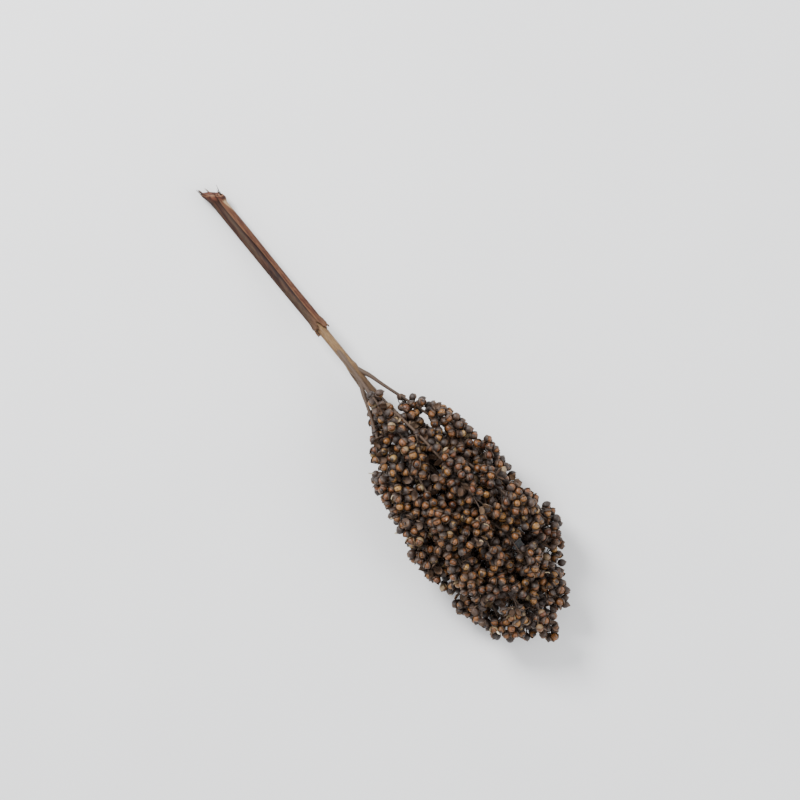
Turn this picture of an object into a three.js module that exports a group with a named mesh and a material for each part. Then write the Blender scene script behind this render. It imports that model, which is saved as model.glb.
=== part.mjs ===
// A dry sorghum seed head, cut with a length of its stalk and lying on its side.
//
// The stalk runs along +X from its cut end into the head, where it thins into the axis that carries the
// branches. Each branch is a bare stem that ends in a finger of closely packed seeds, and the fingers
// overlap like tiles to fill the head. A dry leaf sheath is wrapped round the lower stalk.
// Millimetres, +Z up, resting on z = 0.

import * as THREE from "three";
import { mergeVertices } from "three/addons/utils/BufferGeometryUtils.js";

// Overall sizes
const LENGTH = 305;
const HEAD_START = 116; // from the cut end to the lowest branches
const HEAD_WIDTH = 78;
const HEAD_HEIGHT = 56;
const LEAN = 0.066; // sideways slope of the straight stalk
const SAG = 9; // how far the head's tip bends back from the stalk's line
const AXIS_HEIGHT = 23; // of the head's axis above the surface it lies on
const TIP_HEIGHT = 15; // the same at the head's tip, which droops
const RISE_END = 0.25; // shares of the head's length: its axis rises up to here,
const DROOP_START = 0.5; // and droops from here on
const SWELL_SKEW = 1.3; // above 1, the head's widest part is nearer its tip
const SWELL_POWER = 0.6; // below 1, the head's ends are blunter

// Stalk, cut aslant
const CUT_AT = 3.5; // the middle of the cut face
const CUT_SLANT = { y: 0.75, z: 0.4 }; // how far along the stalk the cut runs for each millimetre across it
const CUT_REACH = 24; // the slant fades out over this length
const CUT_RADIUS = 3.2;
const STALK_RADIUS = 2.8; // just above the joint
const NECK_RADIUS = 2.5; // where the head starts
const AXIS_TIP_RADIUS = 0.8;
const JOINT_AT = 6; // the swollen stem joint, beside the cut end
const JOINT_SWELL = 0.8;
const JOINT_WIDTH = 3;
const AXIS_END = 281; // the seeds at the tip carry on from here
const STALK_SIDES = 12;
const STALK_STEPS = 30;

// Leaf sheath, wrapped round the stalk so that one edge laps over the other
const SHEATH_START = 5.2;
const SHEATH_END = 97;
const SHEATH_THICKNESS = 0.7;
const SHEATH_WRAP = THREE.MathUtils.degToRad(396);
const SHEATH_EDGE = THREE.MathUtils.degToRad(72); // where the outer edge lies, from +Y
const SHEATH_TEAR = 3.5; // depth of the ragged end
const LAP_FROM = 0.1; // shares of the wrap between which it climbs over its own first layer
const LAP_TO = 0.95;
const LAYERS_UNDER = 1.6; // of the sheath between the stalk and the surface it lies on
const SHEATH_SIDES = 18;
const SHEATH_STEPS = 12;
const FIT_GAP = 0.35; // between pieces that touch

// Branches and their fingers of seeds
const BRANCHES = 28;
const FIRST_TURN = THREE.MathUtils.degToRad(100); // of the lowest branch round the axis, from +Y
const TURN = THREE.MathUtils.degToRad(137.5); // from one branch to the next
const LAST_BRANCH = 0.81; // where the last one leaves, as a share of the head
const CROWDING = 0.95; // below 1, the lower branches leave further apart than the upper ones
const LONGEST_REACH = 88; // along the head, of the lowest branch and of the last
const SHORTEST_REACH = 36;
const TIP_ROOM = 5; // between a branch's end and the head's
const LONGEST_BARE = 0.26; // share of the branch below its seeds
const SHORTEST_BARE = 0.2;
const ARCH = 2.1; // how soon a branch swings out towards the head's outside
const SUNK = 0.75; // how far a finger's middle lies inside the head's outline, as a share of its radius
const UNEVEN_SPREAD = 0.07; // how much the branches differ in how far out they stand
const LIFTED = 0.8; // share of its radius that a finger's middle keeps above the surface, and 1 mm
const THICKEST_FINGER = 12; // radius of a finger that has room for it
const THINNEST_FINGER = 9;
const THICKEST_STEM = 1.25;
const THINNEST_STEM = 0.8;
const STEM_FLARE = 0.35; // how much thicker a stem is where it leaves the axis
const STEM_SIDES = 6;
const STEM_STEPS = 4;
const CORE_RADIUS = 7; // the stems' own space round the axis, at the head's widest
const FINGER_GAP = 1.7;
const STEM_ROOM = 3.2; // kept clear round each bare stem
const LUMP = 0.08; // how uneven a finger is, as a share of its radius
const SAMPLES = 36; // points that stand for a branch when the fingers share out the room
const SIDES = 12;
const RINGS = 13;
const FLOOR_CLEARANCE = 0.02;
const REACH_STEP = 0.4;

const HEAD_LENGTH = LENGTH - HEAD_START;
const { lerp, smoothstep, clamp } = THREE.MathUtils;

// The head's radius at share u of its length, as a share of its widest: a long swell to a blunt end.
const swell = (u) => Math.sin(Math.PI * clamp(u, 0, 1) ** SWELL_SKEW) ** SWELL_POWER;

// A finger's radius at share s of its seeds, as a share of its thickest, which is 1 near the middle.
const fullness = (s) => 1.93 * s ** 0.5 * (1 - s) ** 0.45;

// The sheath's foot, which holds the stalk's end up off the surface.
const FOOT_RADIUS = CUT_RADIUS + JOINT_SWELL + LAYERS_UNDER * (FIT_GAP + SHEATH_THICKNESS);

// The line that the stalk and the head's axis follow, at distance x from the cut end.
function axisAt(x) {
  const bend = clamp((x - HEAD_START) / HEAD_LENGTH, 0, 1) ** 2;
  const lift = smoothstep(x, 0, HEAD_START + RISE_END * HEAD_LENGTH);
  const droop = smoothstep(x, HEAD_START + DROOP_START * HEAD_LENGTH, LENGTH);
  const height = lerp(FOOT_RADIUS, AXIS_HEIGHT, lift) + droop * (TIP_HEIGHT - AXIS_HEIGHT);
  return new THREE.Vector3(x, LEAN * x - SAG * bend, height);
}

function stalkRadius(x) {
  const above = lerp(STALK_RADIUS, NECK_RADIUS, smoothstep(x, JOINT_AT, HEAD_START));
  const inHead = lerp(NECK_RADIUS, AXIS_TIP_RADIUS, clamp((x - HEAD_START) / (AXIS_END - HEAD_START), 0, 1));
  const plain = x < HEAD_START ? above : inHead;
  const below = lerp(CUT_RADIUS, plain, smoothstep(x, JOINT_AT - 1, JOINT_AT + 3));
  return below + JOINT_SWELL * Math.exp(-(((x - JOINT_AT) / JOINT_WIDTH) ** 2));
}

// Moves a point of the stalk or its sheath along the stalk, so that their ends at the cut lie aslant.
function slant(point, x) {
  const axis = axisAt(x);
  const share = 1 - smoothstep(x, CUT_AT, CUT_AT + CUT_REACH);
  point.x += share * (CUT_SLANT.y * (point.y - axis.y) + CUT_SLANT.z * (point.z - axis.z));
  return point;
}

// Moves each vertex of a closed three.js geometry with place(x, y, z), keeping it closed.
function reshape(geometry, place) {
  geometry.deleteAttribute("normal");
  geometry.deleteAttribute("uv");
  const closed = mergeVertices(geometry);
  const position = closed.getAttribute("position");
  const vertex = new THREE.Vector3();
  for (let i = 0; i < position.count; i++) {
    vertex.fromBufferAttribute(position, i);
    const { x, y, z } = place(vertex.x, vertex.y, vertex.z);
    position.setXYZ(i, x, y, z);
  }
  closed.computeVertexNormals();
  return closed;
}

// A tapered tube: centreAt(t) and radiusAt(t) for t from 0 to 1, and side, a direction square to it.
function tube(centreAt, radiusAt, side, sides, steps) {
  const unit = new THREE.CylinderGeometry(1, 1, 1, sides, steps);
  return reshape(unit, (x, y, z) => {
    const t = y + 0.5;
    const frame = frameAt(centreAt, t, side);
    const radius = radiusAt(t);
    return frame.centre
      .addScaledVector(frame.out, x * radius)
      .addScaledVector(frame.across, z * radius);
  });
}

// The point at t, with the directions out of the curve and across it.
function frameAt(centreAt, t, side) {
  const step = 0.01;
  const ahead = centreAt(Math.min(t + step, 1)).sub(centreAt(Math.max(t - step, 0))).normalize();
  const out = new THREE.Vector3().crossVectors(ahead, side).normalize();
  const across = new THREE.Vector3().crossVectors(out, ahead);
  return { centre: centreAt(t), out, across };
}

// The stalk and the head's axis, in one: a cylinder drawn out along their line.
function stalk() {
  const unit = new THREE.CylinderGeometry(1, 1, 1, STALK_SIDES, STALK_STEPS);
  return reshape(unit, (x, y, z) => {
    const t = y + 0.5;
    const at = lerp(CUT_AT, AXIS_END, 0.3 * t + 0.7 * t * t); // short steps at the joint
    const radius = stalkRadius(at);
    return slant(axisAt(at).add(new THREE.Vector3(0, z * radius, x * radius)), at);
  });
}

// The sheath: a flat box wound round the stalk, with its upper end torn between the veins.
function leafSheath() {
  const unit = new THREE.BoxGeometry(1, 1, 1, SHEATH_SIDES, SHEATH_STEPS, 1);
  return reshape(unit, (x, y, z) => {
    const wrap = x + 0.5;
    const angle = SHEATH_EDGE - SHEATH_WRAP * (1 - wrap);
    const tear = SHEATH_TEAR * (Math.sin(3 * angle) + 0.6 * Math.sin(7 * angle + 1));
    const along = y + 0.5;
    const at = lerp(SHEATH_START, SHEATH_END + tear, along);
    const spiral = (SHEATH_THICKNESS + FIT_GAP) * smoothstep(wrap, LAP_FROM, LAP_TO);
    const layer = (z + 0.5) * SHEATH_THICKNESS;
    const radius = stalkRadius(at) + FIT_GAP + spiral + layer;
    const offset = new THREE.Vector3(0, radius * Math.cos(angle), radius * Math.sin(angle));
    return slant(axisAt(at).add(offset), at);
  });
}

// One branch: its place on the axis, the curve that it follows, and how thick its finger of seeds may be.
function makeBranch(i) {
  const order = i / (BRANCHES - 1);
  const from = HEAD_START + HEAD_LENGTH * LAST_BRANCH * order ** CROWDING;
  const reach = Math.min(lerp(LONGEST_REACH, SHORTEST_REACH, order), LENGTH - TIP_ROOM - from);
  const turned = FIRST_TURN + i * TURN;
  const thick = lerp(THICKEST_FINGER, THINNEST_FINGER, order);
  const bare = lerp(LONGEST_BARE, SHORTEST_BARE, order);
  const spread = 1 + UNEVEN_SPREAD * Math.sin(5.1 * i);
  const stemRadius = lerp(THICKEST_STEM, THINNEST_STEM, order);

  const radiusAt = (t) => thick * fullness(clamp((t - bare) / (1 - bare), 0, 1));
  const centreAt = (t) => {
    const x = from + reach * t;
    const shell = swell((x - HEAD_START) / HEAD_LENGTH) * spread;
    const outside = 0.5 * shell * Math.hypot(HEAD_WIDTH * Math.cos(turned), HEAD_HEIGHT * Math.sin(turned));
    const inside = stalkRadius(from) + FIT_GAP + stemRadius;
    const offset = lerp(inside, Math.max(inside, outside - SUNK * radiusAt(t)), 1 - (1 - t) ** ARCH);
    const centre = axisAt(x);
    centre.y += offset * Math.cos(turned);
    centre.z += offset * Math.sin(turned);
    centre.z = Math.max(centre.z, LIFTED * radiusAt(t) + 1);
    return centre;
  };
  const side = new THREE.Vector3(0, -Math.sin(turned), Math.cos(turned));
  return { centreAt, radiusAt, bare, stemRadius, side };
}

// The seeds at the tip, which grow on the end of the axis itself.
function makeTip() {
  const centreAt = (t) => axisAt(lerp(AXIS_END + 2 * FIT_GAP, LENGTH, t));
  const radiusAt = (t) => THINNEST_FINGER * fullness(t);
  return { centreAt, radiusAt, bare: 0, stemRadius: AXIS_TIP_RADIUS, side: new THREE.Vector3(0, 0, 1) };
}

// Points along a branch, for measuring how near it is: the bare stem's, and the seeds' with their radii.
function samplesOf(branch) {
  const stem = [];
  const seeds = [];
  for (let k = 0; k <= SAMPLES; k++) {
    const t = k / SAMPLES;
    if (t < branch.bare) stem.push(branch.centreAt(t));
    else seeds.push({ centre: branch.centreAt(t), radius: branch.radiusAt(t) });
  }
  return { stem, seeds };
}

// How far a point is outside a finger, negative inside it.
const depthOf = (point, samples) =>
  Math.min(...samples.seeds.map((s) => s.centre.distanceTo(point) - s.radius));

// True where a finger's seeds may be: above the floor, outside the core, and nearer to this finger than
// to any other.
function isFree(point, own, others) {
  if (point.z < FLOOR_CLEARANCE) return false;
  const axis = axisAt(point.x);
  const core = CORE_RADIUS * swell((point.x - HEAD_START) / HEAD_LENGTH);
  const clear = Math.max(core, stalkRadius(point.x) + 1);
  if (point.x < AXIS_END && Math.hypot(point.y - axis.y, point.z - axis.z) < clear) return false;
  const depth = depthOf(point, own);
  return others.every(
    (other) =>
      depthOf(point, other) > depth + FINGER_GAP &&
      other.stem.every((s) => s.distanceTo(point) > STEM_ROOM),
  );
}

// How far a finger's seeds reach from its centre line at t, in the direction at angle round it.
function reachAt(branch, t, angle, own, others) {
  const frame = frameAt(branch.centreAt, t, branch.side);
  const outward = frame.out.multiplyScalar(Math.cos(angle)).addScaledVector(frame.across, Math.sin(angle));
  const most = branch.radiusAt(t);
  let reach = REACH_STEP;
  while (reach < most) {
    const next = frame.centre.clone().addScaledVector(outward, reach + REACH_STEP);
    if (!isFree(next, own, others)) break;
    reach += REACH_STEP;
  }
  return Math.min(reach, most);
}

// A finger of seeds: a sphere drawn out along its branch, each vertex as far out as there is room round
// about it.
function fingerOfSeeds(branch, own, others, i) {
  const unit = new THREE.SphereGeometry(1, SIDES, RINGS);
  const halfRing = 0.5 * (1 - branch.bare) / RINGS;
  const halfSide = Math.PI / SIDES;
  return reshape(unit, (x, y, z) => {
    const t = lerp(branch.bare + 0.01, 1, (y + 1) / 2);
    const frame = frameAt(branch.centreAt, t, branch.side);
    if (Math.hypot(x, z) < 1e-4) return frame.centre;
    const angle = Math.atan2(z, x);
    const near = [[0, 0], [-halfRing, 0], [halfRing, 0], [0, -halfSide], [0, halfSide]];
    const room = near.map(([along, round]) => {
      const share = clamp(t + along, branch.bare + 0.01, 0.99);
      return reachAt(branch, share, angle + round, own, others) / branch.radiusAt(share);
    });
    const lump = 1 - LUMP * (1 + Math.sin(4 * angle + 9 * t + 2 * i) * Math.sin(14 * t + i));
    const radius = Math.min(...room) * branch.radiusAt(t) * lump;
    const outward = frame.out.multiplyScalar(Math.cos(angle)).addScaledVector(frame.across, Math.sin(angle));
    return frame.centre.addScaledVector(outward, radius);
  });
}

// The bare lower part of a branch, up to where its seeds start.
function stemOf(branch) {
  const end = branch.bare - 0.01;
  const radiusAt = (t) => branch.stemRadius * (1 + STEM_FLARE * (1 - t) ** 4);
  return tube((t) => branch.centreAt(end * t), radiusAt, branch.side, STEM_SIDES, STEM_STEPS);
}

const finish = (color, roughness) => new THREE.MeshStandardMaterial({ color, roughness, metalness: 0 });
const stalkFinish = finish(0xa58a5c, 0.6);
const sheathFinish = finish(0x5b3a31, 0.75);
const stemFinish = finish(0x4a3527, 0.8);
const seedFinish = finish(0x7b4a2c, 0.6);

const head = new THREE.Group();
function addPiece(name, geometry, material) {
  const mesh = new THREE.Mesh(geometry, material);
  mesh.name = name;
  head.add(mesh);
}

addPiece("stalk", stalk(), stalkFinish);
addPiece("leaf_sheath", leafSheath(), sheathFinish);

const branches = [...Array.from({ length: BRANCHES }, (_, i) => makeBranch(i)), makeTip()];
const samples = branches.map(samplesOf);
branches.forEach((branch, i) => {
  const number = String(i + 1).padStart(2, "0");
  const isTip = i === BRANCHES;
  const others = samples.filter((_, j) => j !== i);
  const seeds = fingerOfSeeds(branch, samples[i], others, i);
  if (!isTip) addPiece(`branch_${number}`, stemOf(branch), stemFinish);
  addPiece(isTip ? "tip_seeds" : `seeds_${number}`, seeds, seedFinish);
});

// The origin is under the middle of the whole piece, on the surface that it lies on.
const bounds = new THREE.Box3().setFromObject(head);
const middle = bounds.getCenter(new THREE.Vector3());
head.position.set(-middle.x, -middle.y, -bounds.min.z);

const sorghumHead = new THREE.Group();
sorghumHead.add(head);

export default sorghumHead;
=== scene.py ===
"""The looks of a dry sorghum seed head lying on a pale surface.

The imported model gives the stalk, the sheath, the bare branches and the room that each finger of
seeds fills. Here every finger becomes separate grains in dark husks on fine stems. Lengths are in
mm until a mesh is made.
"""
import math
from collections import namedtuple
from itertools import product

import bpy
import numpy as np
from mathutils import Matrix, Vector
from mathutils.bvhtree import BVHTree


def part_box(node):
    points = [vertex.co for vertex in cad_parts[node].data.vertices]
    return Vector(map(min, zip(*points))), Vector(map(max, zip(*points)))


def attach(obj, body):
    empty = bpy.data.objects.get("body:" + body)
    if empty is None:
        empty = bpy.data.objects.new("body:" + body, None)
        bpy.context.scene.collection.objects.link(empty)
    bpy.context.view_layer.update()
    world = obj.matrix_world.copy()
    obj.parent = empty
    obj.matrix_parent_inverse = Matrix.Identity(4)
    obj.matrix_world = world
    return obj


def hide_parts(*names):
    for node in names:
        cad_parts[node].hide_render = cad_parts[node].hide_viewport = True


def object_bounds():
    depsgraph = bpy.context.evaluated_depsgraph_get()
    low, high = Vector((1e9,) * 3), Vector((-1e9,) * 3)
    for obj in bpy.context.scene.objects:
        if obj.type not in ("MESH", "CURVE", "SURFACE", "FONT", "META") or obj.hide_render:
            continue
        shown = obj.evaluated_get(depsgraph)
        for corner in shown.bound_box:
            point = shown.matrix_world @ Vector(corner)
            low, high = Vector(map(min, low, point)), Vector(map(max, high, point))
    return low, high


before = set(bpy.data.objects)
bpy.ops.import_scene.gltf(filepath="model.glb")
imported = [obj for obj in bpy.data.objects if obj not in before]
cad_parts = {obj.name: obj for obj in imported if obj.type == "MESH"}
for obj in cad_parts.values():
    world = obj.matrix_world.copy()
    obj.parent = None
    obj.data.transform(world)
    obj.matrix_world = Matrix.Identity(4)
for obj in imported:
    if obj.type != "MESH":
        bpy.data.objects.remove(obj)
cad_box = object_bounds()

MM = 0.001
UP = np.array([0.0, 0.0, 1.0])
FINGERS = 28

# Stalk and sheath
SHEATH_WRAP = math.radians(396)  # once round, and a lap
SHEATH_EDGE = math.radians(72)  # of the lap's edge, from +Y up
SHEATH_GAP = 0.2
SHEATH_THICKNESS = 0.42
CUT_SLANT = np.array([0.75, 0.4])  # mm along the stalk for each mm across the cut, sideways and up
CUT_REACH = 24.0  # the slant fades out over this length
CUT_RADIUS = 3.9  # of the joint that the cut goes through
FACE_RINGS = (0.25, 0.5, 0.7, 0.84, 0.93, 0.999)  # of the cut face, as shares of its radius
WHORLS_APART = 17.0  # between the swellings of the head's axis
TORN_BELOW = 4.5  # from the sheath's end down to the middle of its tears
TORN_DEPTH = 2.1
SHREDS = 15
# Each fibre's start and end from the cut's middle, on X and Y, then its height and its rise. For None
# those two are drawn at random.
LONG_FIBRES = (((6.5, 3.9), (-1.35, 5.2), (2.2, 1.8)), ((-1.3, -4.5), (-5.6, -5.3), None))

# Seeds
GRAIN_RADIUS = 2.12
APART = 4.5  # between the middles of neighbouring grains at the surface
APART_INSIDE = 4.3
SKIN_DEPTH = 1.5  # of the outer grains' middles under the finger's surface
INNER_DEPTH = 5.6
GAP_DEPTH = 2.6  # of the grains that fill the gaps, outside their own finger
LOWEST_MIDDLE = GRAIN_RADIUS + 0.25  # of a grain over the floor
INSIDE_BY = 2.5  # of an inner grain's middle, at least
BARE_BASE = 28.0  # the head's first stretch, where its gaps stay open
CLEAR_OF_AXIS = 3.6
RACEME_APART = 10.5
DRAWN_TOGETHER = 0.10  # each grain toward its raceme's middle
CLEAR_OF_OTHERS = 3.7  # between the middles of a moved grain and another finger's
SHARE_RAISED = 0.42  # of the racemes on the outside, with those that reach further out
SHARE_REACHING = 0.16
SIZES = (0.9, 1.09)  # of the seeds
SHARE_PALE_GRAINS = 0.07
SHARE_PALE_HUSKS = 0.05
FLAKES = 70  # of chaff

# Branches
ROOTED_BEFORE = 9.0  # from a branch's root on the stalk to where it stands clear
PARTED_OVER = 15.0

rng = np.random.default_rng(2024)


# --- Closed skins over rings of points ---

Shape = namedtuple("Shape", "points faces corners")
Seed = namedtuple("Seed", "finger middle way out outer")


def unit(v):
    v = np.asarray(v, float)
    return v / np.maximum(np.linalg.norm(v, axis=-1, keepdims=True), 1e-9)


def eased(share):
    """From 0 to 1 with a soft start and a soft end."""
    return share * share * (3 - 2 * share)


def outward(points, faces, corners):
    """A closed skin whose triangles face out."""
    one = points.reshape(-1, *points.shape[-2:])[0]
    a, b, c = (one[faces[:, i]] for i in range(3))
    if np.einsum("ij,ij->", a, np.cross(b, c)) < 0:
        faces, corners = faces[:, ::-1], corners[:, ::-1]
    return Shape(points, faces, corners)


def skin(rings, start, end):
    """Closed skins over rings (..., count, around, 3), drawn in to a point at each end.

    Gives their points, the triangles, which are the same for all, and each corner's place on a flat map.
    """
    lead = rings.shape[:-3]
    count, around = rings.shape[-3:-1]
    flat = rings.reshape(*lead, count * around, 3)
    points = np.concatenate([start[..., None, :], flat, end[..., None, :]], axis=-2)
    k = np.arange(around)
    following = (k + 1) % around
    faces, corners = [], []

    def triangles(a, b, c, *places):
        """One triangle for each k, with the place on the map of each of its corners."""
        faces.append(np.stack([a, b, c], 1))
        corners.append(np.stack([np.stack([u, v + 0 * k], 1) for u, v in places], 1))

    triangles(0 * k, 1 + following, 1 + k, (k + 0.5, 0), (k + 1, 1), (k, 1))
    for r in range(count - 1):
        a, b = 1 + r * around, 1 + (r + 1) * around
        low, high = r + 1, r + 2
        triangles(a + k, a + following, b + following, (k, low), (k + 1, low), (k + 1, high))
        triangles(a + k, b + following, b + k, (k, low), (k + 1, high), (k, high))
    last, tip = 1 + (count - 1) * around, count * around + 1
    triangles(last + k, last + following, tip + 0 * k, (k, count), (k + 1, count), (k + 0.5, count + 1))
    corners = np.concatenate(corners) / np.array([around, count + 1.0])
    return outward(points, np.concatenate(faces), corners)


# A slab's flat map: its two faces side by side, and its four edges as narrow columns beside them.
FACE_WIDE = 0.47
EDGE_COLUMNS = (0.98, 0.985, 0.99, 0.995)
EDGE_WIDE = 0.003


def slab(outer, inner):
    """A closed sheet between two grids of points (rows, columns, 3)."""
    rows, columns = outer.shape[:2]
    points = np.concatenate([outer.reshape(-1, 3), inner.reshape(-1, 3)])
    at = np.arange(rows * columns).reshape(rows, columns)
    under = at + rows * columns
    quads, places = [], []

    def strip(a, b, c, d, us, vs):
        quads.append(np.stack([a.ravel(), b.ravel(), c.ravel(), d.ravel()], 1))
        u, v = (np.broadcast_to(x, (*a.shape, 4)).reshape(-1, 4) for x in (us, vs))
        places.append(np.stack([u, v], 2))

    dr, dc = 1 / (rows - 1), 1 / (columns - 1)
    starts = (np.arange(rows - 1) / (rows - 1), np.arange(columns - 1) / (columns - 1))
    r, c = np.meshgrid(*starts, indexing="ij")
    us = np.stack([c, c + dc, c + dc, c], 2)
    vs = np.stack([r, r, r + dr, r + dr], 2)
    back = [0, 3, 2, 1]
    strip(at[:-1, :-1], at[:-1, 1:], at[1:, 1:], at[1:, :-1], us * FACE_WIDE, vs)
    strip(under[:-1, :-1], under[1:, :-1], under[1:, 1:], under[:-1, 1:],
          0.5 + FACE_WIDE * us[..., back], vs[..., back])
    edges = ((at[0], under[0]), (at[-1, ::-1], under[-1, ::-1]),
             (at[::-1, 0], under[::-1, 0]), (at[:, -1], under[:, -1]))
    for (edge, below), column in zip(edges, EDGE_COLUMNS):
        n = len(edge) - 1
        s = np.arange(n) / n
        us = column + EDGE_WIDE * np.array([1.0, 1.0, 0.0, 0.0])
        vs = np.stack([s, s + 1 / n, s + 1 / n, s], 1)
        strip(below[:-1], below[1:], edge[1:], edge[:-1], us, vs)
    halved = (np.concatenate([four[:, [0, 1, 2]], four[:, [0, 2, 3]]])
              for four in (np.concatenate(quads), np.concatenate(places)))
    return outward(points, *halved)


def grid(rows, columns, first=-1):
    """Numbers from 0 to 1 down the rows, and from the first to 1 across the columns."""
    return np.meshgrid(np.linspace(0, 1, rows), np.linspace(first, 1, columns), indexing="ij")


CELL_EDGE = 0.04  # left free round each skin's cell of its piece's flat map


class Piece:
    """Gathers closed skins into one mesh, with what its material needs to know at each point.

    looks holds three numbers from 0 to 1, and local is a place in mm that stays with its skin.
    """

    def __init__(self):
        self.parts = []

    def add(self, shape, looks, local):
        points = shape.points.reshape(-1, *shape.points.shape[-2:])
        shown = np.broadcast_to(looks, (*points.shape[:2], 3))
        placed = np.broadcast_to(local, points.shape)
        self.parts.append((points, shape.faces, shape.corners, shown, placed))

    def make(self, name, material, slot, *nodes):
        cells = sum(len(part[0]) for part in self.parts)
        side = math.ceil(math.sqrt(cells))
        points, faces, corners, looks, local = [], [], [], [], []
        done = filled = 0
        for many, tris, places, shown, placed in self.parts:
            n, each = many.shape[:2]
            starts = done + each * np.arange(n)
            points.append(many.reshape(-1, 3))
            faces.append((tris[None] + starts[:, None, None]).reshape(-1, 3))
            cell = filled + np.arange(n)
            corner = np.stack([cell % side, cell // side], 1)
            spot = CELL_EDGE + (1 - 2 * CELL_EDGE) * places[None] + corner[:, None, None]
            corners.append((spot / side).reshape(-1, 2))
            looks.append(shown.reshape(-1, 3))
            local.append(placed.reshape(-1, 3))
            done += n * each
            filled += n
        points, faces, corners = np.concatenate(points), np.concatenate(faces), np.concatenate(corners)
        mesh = bpy.data.meshes.new(name)
        mesh.vertices.add(len(points))
        mesh.vertices.foreach_set("co", (points * MM).astype(np.float32).ravel())
        mesh.loops.add(len(faces) * 3)
        mesh.loops.foreach_set("vertex_index", faces.astype(np.int32).ravel())
        mesh.polygons.add(len(faces))
        mesh.polygons.foreach_set("loop_start", np.arange(0, len(faces) * 3, 3, dtype=np.int32))
        mesh.update(calc_edges=True)
        mesh.polygons.foreach_set("use_smooth", np.ones(len(faces), bool))
        mesh.uv_layers.new(name="OFBake").data.foreach_set("uv", corners.astype(np.float32).ravel())
        tone = mesh.attributes.new("looks", "FLOAT_COLOR", "POINT")
        colours = np.concatenate([np.concatenate(looks), np.ones((len(points), 1))], 1)
        tone.data.foreach_set("color", colours.astype(np.float32).ravel())
        place = mesh.attributes.new("local", "FLOAT_VECTOR", "POINT")
        place.data.foreach_set("vector", np.concatenate(local).astype(np.float32).ravel())
        mesh.validate()
        mesh.materials.append(material)
        piece = bpy.data.objects.new(name, mesh)
        bpy.context.scene.collection.objects.link(piece)
        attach(piece, "root")
        if nodes:
            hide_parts(*nodes)


# --- Materials ---

class Look:
    """Builds a material from nodes."""

    def __init__(self, name):
        self.material = bpy.data.materials.new(name)
        self.material.use_nodes = True
        self.tree = self.material.node_tree
        self.shader = self.tree.nodes["Principled BSDF"]

    def node(self, kind, *inputs, **settings):
        node = self.tree.nodes.new(kind)
        for key, value in settings.items():
            setattr(node, key, value)
        self.feed(node, *inputs)
        return node

    def feed(self, node, *inputs):
        """inputs are (name or number, value or another node's output)."""
        for socket, value in inputs:
            if isinstance(value, bpy.types.NodeSocket):
                self.tree.links.new(value, node.inputs[socket])
            else:
                node.inputs[socket].default_value = value

    def attribute(self, name):
        return self.node("ShaderNodeAttribute", attribute_name=name)

    def looks(self):
        colour = self.attribute("looks").outputs["Color"]
        return self.node("ShaderNodeSeparateColor", (0, colour)).outputs[:3]

    def scaled(self, x, y, z):
        """The place on the piece, with each direction stretched by so much, for drawn-out patterns."""
        inputs = (0, self.attribute("local").outputs["Vector"]), (1, (x, y, z))
        return self.node("ShaderNodeVectorMath", *inputs, operation="MULTIPLY").outputs[0]

    def noise(self, where, scale=1.0, detail=3.0, roughness=0.55):
        inputs = ("Vector", where), ("Scale", scale), ("Detail", detail), ("Roughness", roughness)
        return self.node("ShaderNodeTexNoise", *inputs).outputs[0]

    def ramp(self, value, *stops):
        """stops are (position, colour or grey)."""
        node = self.node("ShaderNodeValToRGB", (0, value))
        elements = node.color_ramp.elements
        while len(elements) < len(stops):
            elements.new(0.5)
        for element, (position, colour) in zip(elements, stops):
            element.position = position
            element.color = (*colour, 1) if isinstance(colour, tuple) else (colour, colour, colour, 1)
        return node.outputs[0]

    def mix(self, share, a, b, blend="MIX"):
        a, b = ((*value, 1) if isinstance(value, tuple) else value for value in (a, b))
        node = self.node("ShaderNodeMix", data_type="RGBA", blend_type=blend)
        self.feed(node, (0, share), (6, a), (7, b))
        return node.outputs[2]

    def tint(self, base, colour, value, *stops):
        """base, with as much of the colour over it as the ramp gives for the value."""
        return self.mix(self.ramp(value, *stops), base, colour)

    def sums(self, operation, a, b):
        return self.node("ShaderNodeMath", (0, a), (1, b), operation=operation).outputs[0]

    def finish(self, colour, roughness, height, distance, specular=0.5):
        """distance is the bump's depth in mm."""
        inputs = ("Strength", 1.0), ("Distance", distance * MM), ("Height", height)
        bump = self.node("ShaderNodeBump", *inputs)
        self.feed(self.shader, ("Base Color", colour), ("Roughness", roughness),
                  ("Specular IOR Level", specular), ("Normal", bump.outputs[0]))
        return self.material


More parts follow.
